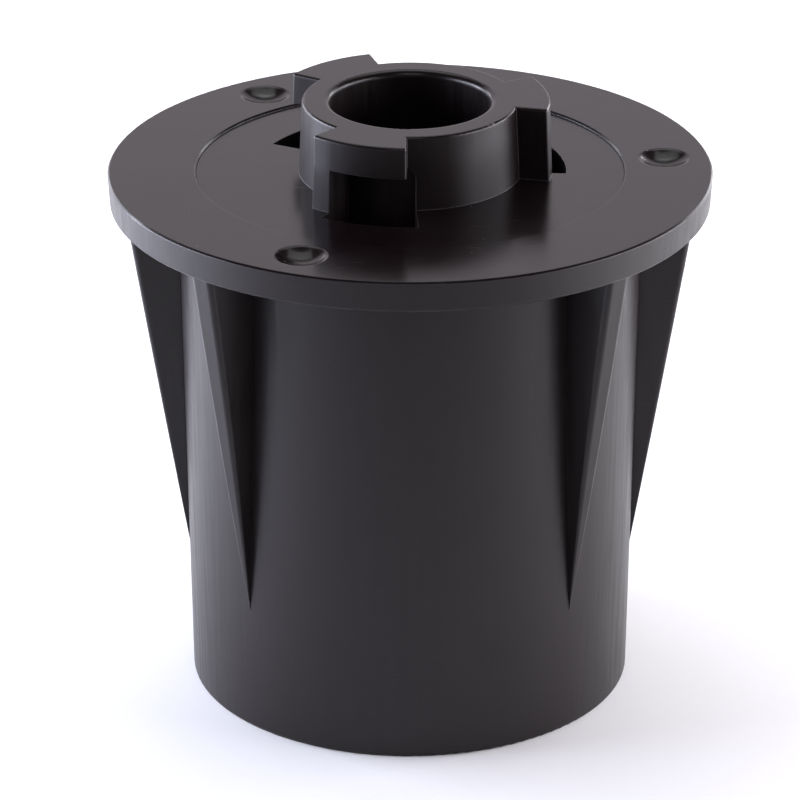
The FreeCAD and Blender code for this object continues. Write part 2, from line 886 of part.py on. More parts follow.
def make_clamped_ring(label, inner, low, high):
    """A ring in the clamped stack, with its screw holes."""
    body = new_body(label)
    revolve(body, f"{label}_ring", [
        (inner, low),
        (size("ring_outer"), low),
        (size("ring_outer"), high),
        (inner, high),
    ])
    pocket(body, f"{label}_screw_holes",
           lambda sketch: bolt_circle(sketch, size("screw_circle"), size("screw_clearance_hole"),
                                      SCREW_ANGLES),
           low - 1, high - low + 2)
    return body


def make_chamber_ring():
    """The wall of the needle-wheel chamber, with short fins that stop the swirl."""
    low = size("base_high")
    body = make_clamped_ring("chamber_ring", size("chamber_inner"), low, size("pod_ring_low"))
    fin = pad(body, "fin", slab(size("fin_tip"), size("chamber_inner") + 0.8, size("fin_width")),
              low, size("fin_top") - low, 0.0)
    polar(body, "fins", [fin], POLE_COUNT)
    pocket(body, "cable_duct",
           lambda sketch: bolt_circle(sketch, size("cable_circle"), size("cable_duct"),
                                      (CABLE_ANGLE,)),
           low - 1, size("pod_ring_low") - low + 2)
    return body


def make_base_plate():
    """The cover under the chamber: spider, throat, air duct and cable hole."""
    body = new_body("base_plate")
    revolve(body, "spider_hub", [
        (0, size("base_low")),
        (size("spider_hub"), size("base_low")),
        (size("spider_hub"), size("spider_top")),
        (size("low_seat_radius"), size("spider_top")),
        (size("low_seat_radius"), size("low_seat_floor")),
        (0, size("low_seat_floor")),
    ])
    spoke = pad(body, "spoke", slab(size("spider_hub") - 0.8, size("throat_radius") + 0.6,
                                    size("spoke_width")),
                size("base_low"), size("spoke_top") - size("base_low"), SCREW_ANGLES[0])
    polar(body, "spokes", [spoke], len(SCREW_ANGLES))
    revolve(body, "plate", [
        (size("throat_radius"), size("base_low")),
        (size("ring_outer"), size("base_low")),
        (size("ring_outer"), size("base_groove_low")),
        (size("groove_radius"), size("base_groove_low")),
        (size("groove_radius"), size("base_groove_high")),
        (size("ring_outer"), size("base_groove_high")),
        (size("ring_outer"), size("base_high")),
        (size("throat_radius"), size("base_high")),
    ])
    thickness = size("base_high") - size("base_low")
    pocket(body, "screw_holes",
           lambda sketch: bolt_circle(sketch, size("screw_circle"), size("screw_clearance_hole"),
                                      SCREW_ANGLES),
           size("base_low") - 1, thickness + 2)
    pocket(body, "gland_hole",
           lambda sketch: bolt_circle(sketch, size("cable_circle"), size("gland_neck_hole"),
                                      (CABLE_ANGLE,)),
           size("base_low") - 1, thickness + 2)
    pocket(body, "air_socket",
           lambda sketch: bolt_circle(sketch, size("air_circle"), size("air_neck_hole"),
                                      (AIR_ANGLE,)),
           size("base_low") - 1, size("air_neck_top") - size("base_low") + 1)
    pocket(body, "air_riser",
           lambda sketch: bolt_circle(sketch, size("air_circle"), size("air_bore"),
                                      (AIR_ANGLE,)),
           size("base_low") - 1, size("air_duct_height") - size("base_low") + 1)
    cross_bore(body, "air_duct", size("air_bore"), size("throat_radius") - 1.5,
               size("air_circle") + 1.0, size("air_duct_height"), AIR_ANGLE)
    return body


def make_base_screws():
    """The long screws that clamp the stack under the shelf."""
    screws = []
    for index, angle in enumerate(SCREW_ANGLES):
        centre = polar_point(size("screw_circle"), angle)
        head_foot = size("base_low") - size("screw_head_height")
        shank = cylinder(f"screw_shank_{index}", size("screw_shank"), size("base_low") - 0.5,
                         size("screw_end"), centre)
        head = cylinder(f"screw_head_{index}", size("screw_head"), head_foot, size("base_low"), centre)
        solid = doc.addObject("Part::Fuse", f"screw_solid_{index}")
        solid.Base = shank
        solid.Tool = head
        socket = doc.addObject("Part::Prism", f"screw_socket_{index}")
        socket.Polygon = 6
        bind(socket, "Circumradius", size("screw_socket"))
        bind(socket, "Height", size("screw_socket_depth") + 1)
        bind(socket, "Placement.Base.x", centre[0])
        bind(socket, "Placement.Base.y", centre[1])
        bind(socket, "Placement.Base.z", head_foot - 1)
        screws.append(cut(f"screw_{index}", solid, socket))
    return compound("base_screws", screws)


def make_intake_screen():
    """The strainer that clips into the throat from below."""
    body = new_body("intake_screen")
    revolve(body, "screen_disc", [
        (0, size("screen_low")),
        (size("screen_radius"), size("screen_low")),
        (size("screen_radius"), size("screen_high")),
        (0, size("screen_high")),
    ])
    slot = pocket(body, "slot", slab(size("screen_slot_near"), size("screen_slot_far"),
                                     size("screen_slot_width")),
                  size("screen_low") - 1, size("screen_high") - size("screen_low") + 2)
    polar(body, "slots", [slot], SCREEN_SLOT_COUNT)
    leg = revolve(body, "leg", [
        (size("screen_leg_inner"), size("screen_high") - 0.6),
        (size("screen_leg_outer"), size("screen_high") - 0.6),
        (size("screen_leg_outer"), size("screen_leg_top")),
        (size("screen_leg_inner"), size("screen_leg_top")),
    ], size("screen_leg_start"), size("screen_leg_sweep"))
    polar(body, "legs", [leg], SCREEN_LEG_COUNT)
    fillet(body, "screen_edge", size("screen_edge_round"),
           lambda edge: is_rim(edge, SIZES["screen_radius"], SIZES["screen_low"]))
    return body


def stand_at(shape, radius, angle):
    """Moves a finished piece out to its place round the base."""
    across, along = polar_point(radius, angle)
    shape.Placement = Placement(Vector(across.value, along.value, 0), Rotation())
    bind(shape, "Placement.Base.x", across)
    bind(shape, "Placement.Base.y", along)


def make_air_inlet():
    """The spigot that the air hose pushes on."""
    body = new_body("air_inlet")
    revolve(body, "spigot", [
        (size("air_bore"), size("air_tail_end")),
        (size("air_tail"), size("air_tail_end")),
        (size("air_tail"), size("air_collar_low")),
        (size("air_collar"), size("air_collar_low")),
        (size("air_collar"), size("base_low")),
        (size("air_neck"), size("base_low")),
        (size("air_neck"), size("air_neck_top")),
        (size("air_bore"), size("air_neck_top")),
    ])
    stand_at(body, size("air_circle"), AIR_ANGLE)
    return body


def make_cable_gland():
    """The gland body that the power cord passes through."""
    body = new_body("cable_gland")
    revolve(body, "gland", [
        (size("cable_radius"), size("gland_thread_end")),
        (size("gland_thread"), size("gland_thread_end")),
        (size("gland_thread"), size("gland_collar_low")),
        (size("gland_collar"), size("gland_collar_low")),
        (size("gland_collar"), size("base_low")),
        (size("gland_neck"), size("base_low")),
        (size("gland_neck"), size("gland_neck_top")),
        (size("cable_radius"), size("gland_neck_top")),
    ])
    stand_at(body, size("cable_circle"), CABLE_ANGLE)
    return body


def make_gland_nut():
    """The nut that squeezes the gland onto the cord."""
    body = new_body("gland_nut")
    revolve(body, "nut", [
        (size("cable_radius"), size("nut_low")),
        (size("gland_collar"), size("nut_low")),
        (size("gland_collar"), size("nut_high")),
        (size("nut_bore"), size("nut_high")),
        (size("nut_bore"), size("nut_shoulder")),
        (size("cable_radius"), size("nut_shoulder")),
    ])
    fillet(body, "nut_edge", size("nut_edge_round"),
           lambda edge: is_rim(edge, SIZES["gland_collar"], SIZES["nut_low"]))
    stand_at(body, size("cable_circle"), CABLE_ANGLE)
    return body


def make_shaft_seats():
    """The two rubber cups that hold the ends of the shaft."""
    lower = new_body("shaft_seat_lower")
    revolve(lower, "lower_cup", [
        (0, size("low_seat_floor")),
        (size("low_seat_radius"), size("low_seat_floor")),
        (size("low_seat_radius"), size("low_seat_top")),
        (size("shaft_radius"), size("low_seat_top")),
        (size("shaft_radius"), size("shaft_low")),
        (0, size("shaft_low")),
    ])
    upper = new_body("shaft_seat_upper")
    revolve(upper, "upper_cup", [
        (size("shaft_radius"), size("high_seat_foot")),
        (size("high_seat_radius"), size("high_seat_foot")),
        (size("high_seat_radius"), size("seat_socket_top")),
        (0, size("seat_socket_top")),
        (0, size("shaft_high")),
        (size("shaft_radius"), size("shaft_high")),
    ])
    return [lower, upper]


def make_rotor_hub():
    """The plastic carrier of the magnet, with the dog that drives the needle wheel."""
    body = new_body("rotor_hub")
    revolve(body, "carrier", [
        (size("hub_bore"), size("hub_foot")),
        (size("hub_stub"), size("hub_foot")),
        (size("hub_stub"), size("hub_cover_low")),
        (size("hub_cover"), size("hub_cover_low")),
        (size("hub_cover"), size("hub_cover_high")),
        (size("hub_neck"), size("hub_cover_high")),
        (size("hub_neck"), size("hub_flange_low")),
        (size("hub_flange"), size("hub_flange_low")),
        (size("hub_flange"), size("hub_flange_high")),
        (size("hub_sleeve"), size("hub_flange_high")),
        (size("hub_sleeve"), size("hub_top")),
        (size("hub_bore"), size("hub_top")),
    ])
    revolve(body, "dog", [
        (size("hub_stub") - 0.4, size("dog_low")),
        (size("dog_reach"), size("dog_low")),
        (size("dog_reach"), size("dog_high")),
        (size("hub_stub") - 0.4, size("dog_high")),
    ], size("dog_sweep") * -0.5, size("dog_sweep"))
    return body


def make_needle_wheel():
    """The wheel of needles, with the stop that its dog pushes."""
    body = new_body("needle_wheel")
    revolve(body, "wheel", [
        (size("wheel_bore"), size("wheel_foot")),
        (size("wheel_hub"), size("wheel_foot")),
        (size("wheel_hub"), size("wheel_disc_low")),
        (size("wheel_radius"), size("wheel_disc_low")),
        (size("wheel_radius"), size("wheel_disc_high")),
        (size("wheel_hub"), size("wheel_disc_high")),
        (size("wheel_hub"), size("wheel_hub_top")),
        (size("wheel_pocket"), size("wheel_hub_top")),
        (size("wheel_pocket"), size("wheel_pocket_floor")),
        (size("wheel_bore"), size("wheel_pocket_floor")),
    ])
    revolve(body, "stop", [
        (size("stop_inner"), size("wheel_pocket_floor") - 0.4),
        (size("wheel_pocket") + 0.4, size("wheel_pocket_floor") - 0.4),
        (size("wheel_pocket") + 0.4, size("dog_high")),
        (size("stop_inner"), size("dog_high")),
    ], size("stop_start"), size("dog_sweep"))
    length = size("wheel_disc_low") - size("needle_end") + 0.4
    for row, count in NEEDLE_ROWS:
        circle = size(f"{row}_needle_circle")
        needle = pad(body, f"{row}_needle",
                     lambda sketch, circle=circle: ring_circle(sketch, (circle, 0), size("needle_radius")),
                     size("needle_end"), length)
        polar(body, f"{row}_needles", [needle], count)
    return body


def named(shape, label):
    """Gives a plain shape its sub-part's name."""
    shape.Label = label
    return shape


def make_turned_pieces():
    """The plain round pieces: shaft, magnet, bushes, washers, resin and gasket."""
    shaft = named(cylinder("shaft", size("shaft_radius"), size("shaft_low"), size("shaft_high")), "shaft")
    magnet = named(tube("rotor_magnet", size("magnet_radius"), size("magnet_bore"),
                        size("magnet_low"), size("magnet_high")), "rotor_magnet")
    low_start = size("hub_foot") + 0.1
    high_end = size("hub_top") - 0.1
    bush_lower = named(tube("bush_lower", size("bush_outer"), size("bush_bore"),
                            low_start, low_start + size("bush_length")), "bush_lower")
    bush_upper = named(tube("bush_upper", size("bush_outer"), size("bush_bore"),
                            high_end - size("bush_length"), high_end), "bush_upper")
    low_washer = tube("low_washer", size("low_washer_radius"), size("washer_bore"),
                      size("low_washer_height"),
                      size("low_washer_height") + size("washer_thickness"))
    high_washer = tube("high_washer", size("high_washer_radius"), size("washer_bore"),
                       size("high_washer_height"),
                       size("high_washer_height") + size("washer_thickness"))
    washers = compound("thrust_washers", [low_washer, high_washer])
    resin = named(tube("resin_seal", size("pod_cap_spigot"), size("resin_inner"),
                       size("resin_low"), size("resin_high")), "resin_seal")
    return [shaft, magnet, bush_lower, bush_upper, washers, resin]


def check_and_write(parts):
    """Checks every object of the document, then writes one file for each sub-part."""
    doc.recompute()
    for thing in doc.Objects:
        if "Invalid" in thing.State or "Error" in thing.State:
            raise ValueError(f"{thing.Label} failed: {thing.State}")
    os.makedirs("parts", exist_ok=True)
    for part in parts:
        shape = part.Shape
        if shape.isNull() or not shape.isValid():
            raise ValueError(f"{part.Label} has no valid shape")
        print(part.Label, "solids", len(shape.Solids), "volume", round(shape.Volume, 1))
        shape.exportStep(os.path.join("parts", f"{part.Label}.step"))


make_sheet()
all_parts = [
    make_housing_barrel(),
    make_housing_flange(),
    make_housing_gussets(),
    make_neck_cap(),
    make_seal("neck_o_ring", size("neck_seal_height")),
    make_motor_housing(),
    make_motor_cap(),
    make_stator_core(),
    make_stator_coils(),
    make_clamped_ring("ring_gasket", size("shelf_radius"), size("pod_ring_high"),
                      size("shelf_underside")),
    make_chamber_ring(),
    make_base_plate(),
    make_seal("base_o_ring", size("base_seal_height")),
    make_base_screws(),
    make_intake_screen(),
    make_air_inlet(),
    make_cable_gland(),
    make_gland_nut(),
    make_rotor_hub(),
    make_needle_wheel(),
]
all_parts += make_shaft_seats()
all_parts += make_turned_pieces()
check_and_write(all_parts)
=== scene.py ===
"""The look of a black moulded protein skimmer pump body, in metres, in the model's frame."""

import math

import bpy
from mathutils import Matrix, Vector

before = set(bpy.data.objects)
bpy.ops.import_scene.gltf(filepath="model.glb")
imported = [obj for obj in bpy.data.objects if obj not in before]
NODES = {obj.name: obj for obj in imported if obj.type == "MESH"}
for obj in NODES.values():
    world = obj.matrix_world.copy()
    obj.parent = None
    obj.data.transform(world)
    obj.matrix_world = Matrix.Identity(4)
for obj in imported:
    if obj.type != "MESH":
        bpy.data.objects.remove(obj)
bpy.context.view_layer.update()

MM = 0.001


# ---------------------------------------------------------------- small helpers

def linear(code):
    """An sRGB hex colour as linear red, green, blue and alpha."""
    channels = []
    for start in (1, 3, 5):
        value = int(code[start:start + 2], 16) / 255
        if value <= 0.04045:
            channels.append(value / 12.92)
        else:
            channels.append(((value + 0.055) / 1.055) ** 2.4)
    return (*channels, 1.0)


def per(size_mm):
    """The texture scale that gives a feature of this many millimetres."""
    return 1000.0 / size_mm


def add(tree, kind, settings=None, links=None):
    """Adds a node, sets its properties and inputs, and links its inputs."""
    node = tree.nodes.new(kind)
    for name, value in (settings or {}).items():
        if isinstance(name, str) and hasattr(node, name):
            setattr(node, name, value)
        else:
            node.inputs[name].default_value = value
    for name, source in (links or {}).items():
        tree.links.new(source, node.inputs[name])
    return node


def new_material(name):
    """An empty node material with its shader and object coordinates."""
    material = bpy.data.materials.new(name)
    material.use_nodes = True
    tree = material.node_tree
    tree.nodes.clear()
    output = add(tree, "ShaderNodeOutputMaterial")
    shader = add(tree, "ShaderNodeBsdfPrincipled")
    tree.links.new(shader.outputs["BSDF"], output.inputs["Surface"])
    place = add(tree, "ShaderNodeTexCoord").outputs["Object"]
    return material, tree, shader, place


def ramp(tree, source, low, high, first, last):
    """Maps a grey source from low..high to first..last, held at the ends."""
    settings = {"From Min": low, "From Max": high, "To Min": first, "To Max": last}
    node = add(tree, "ShaderNodeMapRange", settings, {"Value": source})
    return node.outputs["Result"]


def blend(tree, factor, first, second):
    """Mixes two colours; each is a hex code or a socket."""
    node = add(tree, "ShaderNodeMix", {"data_type": "RGBA"}, {0: factor})
    for index, colour in ((6, first), (7, second)):
        if isinstance(colour, str):
            node.inputs[index].default_value = linear(colour)
        else:
            tree.links.new(colour, node.inputs[index])
    return node.outputs[2]


def combine(tree, operation, first, second):
    """Arithmetic on two greys; the second may be a number."""
    node = add(tree, "ShaderNodeMath", {"operation": operation}, {0: first})
    if isinstance(second, (int, float)):
        node.inputs[1].default_value = second
    else:
        tree.links.new(second, node.inputs[1])
    return node.outputs["Value"]


def cloud(tree, place, size_mm, detail=3.0, rough=0.5):
    """A soft random pattern of this size."""
    settings = {"Scale": per(size_mm), "Detail": detail, "Roughness": rough}
    return add(tree, "ShaderNodeTexNoise", settings, {"Vector": place}).outputs["Fac"]


def stretched(tree, place, scale, turn=(0.0, 0.0, 0.0)):
    """Coordinates squeezed along some axes, so that a pattern runs long along the others."""
    settings = {"Scale": scale, "Rotation": turn}
    return add(tree, "ShaderNodeMapping", settings, {"Vector": place}).outputs["Vector"]


def raise_surface(tree, shader, heights, start=None):
    """Bumps the surface by several greys, each with its depth in millimetres."""
    last = start
    for height, depth_mm in heights:
        node = add(tree, "ShaderNodeBump", {"Strength": 1.0, "Distance": depth_mm * MM},
                   {"Height": height})
        if last is not None:
            tree.links.new(last, node.inputs["Normal"])
        last = node.outputs["Normal"]
    tree.links.new(last, shader.inputs["Normal"])


# ---------------------------------------------------------------- materials

def soft_edges(tree, radius_mm):
    """The normal with every sharp edge rounded, and a grey that is 1 on those edges."""
    bevel = add(tree, "ShaderNodeBevel", {"samples": 6, "Radius": radius_mm * MM})
    surface = add(tree, "ShaderNodeNewGeometry")
    agree = add(tree, "ShaderNodeVectorMath", {"operation": "DOT_PRODUCT"},
                {0: bevel.outputs["Normal"], 1: surface.outputs["Normal"]})
    return bevel.outputs["Normal"], ramp(tree, agree.outputs["Value"], 0.97, 0.85, 0.0, 1.0)


def hairline_scratches(tree, place, length_mm, width_mm, turn, share):
    """Fine scratches that run one way: 1 on a scratch, 0 off it; share sets how many."""
    along = stretched(tree, place, (width_mm / length_mm, 1.0, 1.0), turn)
    lines = cloud(tree, along, width_mm, 1.0)
    return ramp(tree, lines, 1.0 - share, 1.0 - share + 0.02, 0.0, 1.0)


def facing_up(tree):
    """1 where the surface faces up, 0 on walls and undersides."""
    surface = add(tree, "ShaderNodeNewGeometry")
    facing = add(tree, "ShaderNodeSeparateXYZ", {}, {"Vector": surface.outputs["Normal"]})
    return ramp(tree, facing.outputs["Z"], 0.2, 0.8, 0.0, 1.0)


def dust(tree, place, grain_mm, share):
    """Dust that lies on what faces up: 1 on a speck, 0 off it; its cells are nine grains wide."""
    cells = add(tree, "ShaderNodeTexVoronoi", {"Scale": per(grain_mm * 9)}, {"Vector": place})
    speck = ramp(tree, cells.outputs["Distance"], 0.03, 0.06, 1.0, 0.0)
    some = add(tree, "ShaderNodeSeparateColor", {}, {"Color": cells.outputs["Color"]})
    chosen = ramp(tree, some.outputs["Red"], 1.0 - share, 1.0 - share + 0.01, 0.0, 1.0)
    settled = ramp(tree, facing_up(tree), 0.0, 1.0, 0.15, 1.0)
    return combine(tree, "MULTIPLY", combine(tree, "MULTIPLY", speck, chosen), settled)


def moulded_abs():
    """Black ABS, warm in the deep, satin on its walls and glossier on its flat tops, with a painted
    highlight along every sharp edge.
    """
    material, tree, shader, place = new_material("moulded_black_abs")
    haze = cloud(tree, place, 14.0, 4.0, 0.6)
    fine = cloud(tree, place, 0.35, 2.0)
    scratches = hairline_scratches(tree, place, 9.0, 0.16, (0.3, 0.2, 0.5), 0.27)
    specks = dust(tree, place, 0.22, 0.10)
    up = facing_up(tree)
    lines = cloud(tree, stretched(tree, place, (1.0, 1.0, 0.04)), 0.9, 3.0)
    draw_lines = combine(tree, "MULTIPLY", lines, ramp(tree, up, 0.0, 1.0, 1.0, 0.0))
    rounded, edges = soft_edges(tree, 0.22)
    body = blend(tree, ramp(tree, haze, 0.35, 0.7, 0.0, 1.0), "#130B0D", "#171012")
    scratch_wear_and_edge_highlight = blend(tree, combine(tree, "MULTIPLY", scratches, 0.35), body, "#3A3839")
    # painted highlight: every sharp edge is lightened towards pale grey, standing in for the light
    # its rounding catches
    scratch_wear_and_edge_highlight = blend(tree, combine(tree, "MULTIPLY", edges, 0.5), scratch_wear_and_edge_highlight, "#6E6C72")
    dusted = blend(tree, combine(tree, "MULTIPLY", specks, 0.8), scratch_wear_and_edge_highlight, "#A8A6A2")
    tree.links.new(dusted, shader.inputs["Base Color"])
    walls = ramp(tree, haze, 0.3, 0.75, 0.38, 0.45)
    walls = combine(tree, "ADD", walls, ramp(tree, draw_lines, 0.35, 0.65, -0.07, 0.03))
    gloss = combine(tree, "SUBTRACT", walls, combine(tree, "MULTIPLY", up, 0.16))
    gloss = combine(tree, "ADD", gloss, combine(tree, "MULTIPLY", scratches, 0.08))
    gloss = combine(tree, "ADD", gloss, combine(tree, "MULTIPLY", specks, 0.4))
    tree.links.new(gloss, shader.inputs["Roughness"])
    shader.inputs["IOR"].default_value = 1.41
    flow = cloud(tree, place, 9.0, 1.0)
    raise_surface(tree, shader, [(flow, 0.02), (draw_lines, 0.002), (fine, 0.0025),
                                 (scratches, 0.002), (specks, 0.04)], rounded)
    return material


def satin_abs():
    """Black ABS from a spark-finished mould: an even fine grain with a dull sheen."""
    material, tree, shader, place = new_material("spark_finished_black_abs")
    grain = cloud(tree, place, 0.28, 3.0, 0.7)
    haze = cloud(tree, place, 11.0, 3.0)
    body = blend(tree, ramp(tree, haze, 0.3, 0.7, 0.0, 1.0), "#1A1A1B", "#242426")
    tree.links.new(body, shader.inputs["Base Color"])
    tree.links.new(ramp(tree, grain, 0.3, 0.7, 0.38, 0.52), shader.inputs["Roughness"])
    shader.inputs["IOR"].default_value = 1.53
    raise_surface(tree, shader, [(haze, 0.015), (grain, 0.008)])
    return material


def black_polypropylene():
    """Black polypropylene: waxy, with knit lines where the melt met round the slots."""
    material, tree, shader, place = new_material("moulded_black_polypropylene")
    bands = add(tree, "ShaderNodeTexWave", {"Scale": per(9.0), "Distortion": 4.0, "Detail": 2.0},
                {"Vector": place}).outputs["Fac"]
    fine = cloud(tree, place, 0.4, 2.0)
    tree.links.new(blend(tree, bands, "#1C1C1D", "#29292A"), shader.inputs["Base Color"])
    tree.links.new(ramp(tree, fine, 0.3, 0.7, 0.36, 0.46), shader.inputs["Roughness"])
    shader.inputs["IOR"].default_value = 1.49
    raise_surface(tree, shader, [(bands, 0.006), (fine, 0.004)])
    return material


def grey_polypropylene():
    """Grey polypropylene: a soft waxy grey with faint flow marks."""
    material, tree, shader, place = new_material("moulded_grey_polypropylene")
    flow = cloud(tree, stretched(tree, place, (1.0, 1.0, 0.25)), 2.5, 3.0)
    fine = cloud(tree, place, 0.3, 2.0)
    tree.links.new(blend(tree, flow, "#6C7074", "#7D8286"), shader.inputs["Base Color"])
    tree.links.new(ramp(tree, fine, 0.3, 0.7, 0.34, 0.44), shader.inputs["Roughness"])
    shader.inputs["IOR"].default_value = 1.49
    raise_surface(tree, shader, [(flow, 0.01), (fine, 0.004)])
    return material


def black_nylon():
    """Glass-filled black nylon: faint grey fibres under a satin skin."""
    material, tree, shader, place = new_material("glass_filled_black_nylon")
    fibres = hairline_scratches(tree, place, 1.6, 0.12, (0.9, 0.4, 0.2), 0.34)
    fine = cloud(tree, place, 0.25, 3.0)
    tree.links.new(blend(tree, combine(tree, "MULTIPLY", fibres, 0.5), "#1B1B1D", "#3D3D3E"),
                   shader.inputs["Base Color"])
    tree.links.new(ramp(tree, fine, 0.3, 0.7, 0.35, 0.5), shader.inputs["Roughness"])
    shader.inputs["IOR"].default_value = 1.53
    raise_surface(tree, shader, [(fine, 0.006)])
    return material


def natural_nylon():
    """Natural nylon: milky white that lets a little light in."""
    material, tree, shader, place = new_material("natural_white_nylon")
    milk = cloud(tree, place, 5.0, 3.0)
    fine = cloud(tree, place, 0.3, 2.0)
    tree.links.new(blend(tree, milk, "#DAD7CC", "#E8E6DE"), shader.inputs["Base Color"])
    tree.links.new(ramp(tree, fine, 0.3, 0.7, 0.3, 0.42), shader.inputs["Roughness"])
    shader.inputs["IOR"].default_value = 1.53
    shader.inputs["Subsurface Weight"].default_value = 0.2
    shader.inputs["Subsurface Radius"].default_value = (0.0012, 0.0011, 0.0009)
    raise_surface(tree, shader, [(milk, 0.01), (fine, 0.004)])
    return material


def white_wheel_nylon():
    """White pigmented nylon of the needle wheel, with a trace of brown slime in random patches."""
    material, tree, shader, place = new_material("white_needle_wheel_nylon")
    slime = ramp(tree, cloud(tree, place, 3.0, 5.0, 0.65), 0.52, 0.72, 0.0, 0.45)
    fine = cloud(tree, place, 0.3, 2.0)
    tree.links.new(blend(tree, slime, "#E9E8E4", "#B9B19A"), shader.inputs["Base Color"])
    tree.links.new(ramp(tree, fine, 0.3, 0.7, 0.32, 0.45), shader.inputs["Roughness"])
    shader.inputs["IOR"].default_value = 1.53
    raise_surface(tree, shader, [(fine, 0.004)])
    return material


def nitrile_rubber():
    """Black nitrile rubber: dull, with a pale bloom and a fine moulded grain."""
    material, tree, shader, place = new_material("moulded_nitrile_rubber")
    bloom = ramp(tree, cloud(tree, place, 4.0, 4.0, 0.6), 0.4, 0.75, 0.0, 1.0)
    fine = cloud(tree, place, 0.2, 3.0)
    tree.links.new(blend(tree, bloom, "#171717", "#262625"), shader.inputs["Base Color"])
    tree.links.new(ramp(tree, bloom, 0.0, 1.0, 0.55, 0.75), shader.inputs["Roughness"])
    shader.inputs["IOR"].default_value = 1.52
    raise_surface(tree, shader, [(fine, 0.008)])
    return material


def stainless_steel():
    """Stainless steel screws: bright, with turning rings and drops of dried water."""
    material, tree, shader, place = new_material("turned_stainless_steel")
    rings = add(tree, "ShaderNodeTexWave", {"wave_type": "RINGS", "rings_direction": "Z",
                                             "Scale": per(1.2), "Distortion": 1.0}, {"Vector": place})
    spots = ramp(tree, cloud(tree, place, 1.5, 4.0, 0.6), 0.55, 0.7, 0.0, 1.0)
    tree.links.new(blend(tree, spots, "#C4C5C7", "#9A9B9C"), shader.inputs["Base Color"])
    shader.inputs["Metallic"].default_value = 1.0
    tree.links.new(ramp(tree, spots, 0.0, 1.0, 0.22, 0.42), shader.inputs["Roughness"])
    raise_surface(tree, shader, [(rings.outputs["Fac"], 0.004)])
    return material


def laminated_steel():
    """Stacked electrical steel: half-millimetre sheets with dark varnish between them."""
    material, tree, shader, place = new_material("laminated_electrical_steel")
    height = add(tree, "ShaderNodeSeparateXYZ", {}, {"Vector": place}).outputs["Z"]
    sheets = combine(tree, "PINGPONG", combine(tree, "MULTIPLY", height, per(0.5)), 0.5)
    joint = ramp(tree, sheets, 0.0, 0.12, 1.0, 0.0)
    tree.links.new(blend(tree, joint, "#8A8D92", "#2A2320"), shader.inputs["Base Color"])
    shader.inputs["Metallic"].default_value = 0.85
    tree.links.new(ramp(tree, joint, 0.0, 1.0, 0.35, 0.7), shader.inputs["Roughness"])
    raise_surface(tree, shader, [(sheets, 0.05)])
    return material


def enamelled_copper():
    """Wound copper wire under amber enamel: rows of round turns, 0.4 mm apart."""
    material, tree, shader, place = new_material("enamelled_copper_winding")
    axes = add(tree, "ShaderNodeSeparateXYZ", {}, {"Vector": place})
    across = combine(tree, "ADD", axes.outputs["X"], axes.outputs["Y"])
    turns = combine(tree, "PINGPONG", combine(tree, "MULTIPLY", across, per(0.4)), 0.5)
    shade = cloud(tree, place, 3.0, 3.0)
    tree.links.new(blend(tree, shade, "#8E4A22", "#B5652F"), shader.inputs["Base Color"])
    shader.inputs["Metallic"].default_value = 0.9
    tree.links.new(ramp(tree, turns, 0.0, 0.5, 0.5, 0.25), shader.inputs["Roughness"])
    shader.inputs["Coat Weight"].default_value = 0.6
    raise_surface(tree, shader, [(turns, 0.2)])
    return material


def potting_resin():
    """Poured epoxy: dark amber and glossy, level, with a few trapped bubbles."""
    material, tree, shader, place = new_material("poured_epoxy_resin")
    bubbles = add(tree, "ShaderNodeTexVoronoi", {"Scale": per(3.5)}, {"Vector": place})
    ring = ramp(tree, bubbles.outputs["Distance"], 0.10, 0.16, 1.0, 0.0)
    flow = cloud(tree, place, 8.0, 2.0)
    tree.links.new(blend(tree, flow, "#1E1712", "#2C2118"), shader.inputs["Base Color"])
    tree.links.new(ramp(tree, ring, 0.0, 1.0, 0.12, 0.3), shader.inputs["Roughness"])
    shader.inputs["IOR"].default_value = 1.55
    raise_surface(tree, shader, [(flow, 0.05), (ring, 0.03)])
    return material


def polished_ceramic():
    """Fine alumina ceramic: ivory white, ground and polished to a soft gloss."""
    material, tree, shader, place = new_material("polished_alumina_ceramic")
    grinding = hairline_scratches(tree, place, 2.0, 0.12, (0.0, 1.57, 0.0), 0.4)
    milk = cloud(tree, place, 2.0, 3.0)
    tree.links.new(blend(tree, milk, "#E9E4D6", "#F3EFE6"), shader.inputs["Base Color"])
    tree.links.new(ramp(tree, grinding, 0.0, 1.0, 0.14, 0.26), shader.inputs["Roughness"])
    shader.inputs["IOR"].default_value = 1.76
    raise_surface(tree, shader, [(grinding, 0.002)])
    return material


def ground_ferrite():
    """Sintered ferrite: dark grey, with ground bands and small chips."""
    material, tree, shader, place = new_material("ground_ferrite_magnet")
    bands = cloud(tree, stretched(tree, place, (0.08, 0.08, 1.0)), 0.35, 2.0)
    chips = ramp(tree, cloud(tree, place, 1.1, 5.0, 0.7), 0.62, 0.7, 0.0, 1.0)
    tree.links.new(blend(tree, chips, "#3B3C3F", "#232325"), shader.inputs["Base Color"])
    tree.links.new(ramp(tree, bands, 0.3, 0.7, 0.3, 0.5), shader.inputs["Roughness"])
    shader.inputs["Metallic"].default_value = 0.3
    raise_surface(tree, shader, [(bands, 0.006), (chips, 0.03)])
    return material


def carbon_ptfe():
    """Carbon-filled PTFE bushes: graphite grey and greasy."""
    material, tree, shader, place = new_material("carbon_filled_ptfe")
    flecks = cloud(tree, place, 0.25, 4.0, 0.7)
    tree.links.new(blend(tree, flecks, "#1E1F21", "#36373A"), shader.inputs["Base Color"])
    tree.links.new(ramp(tree, flecks, 0.3, 0.7, 0.32, 0.48), shader.inputs["Roughness"])
    shader.inputs["IOR"].default_value = 1.38
    raise_surface(tree, shader, [(flecks, 0.004)])
    return material


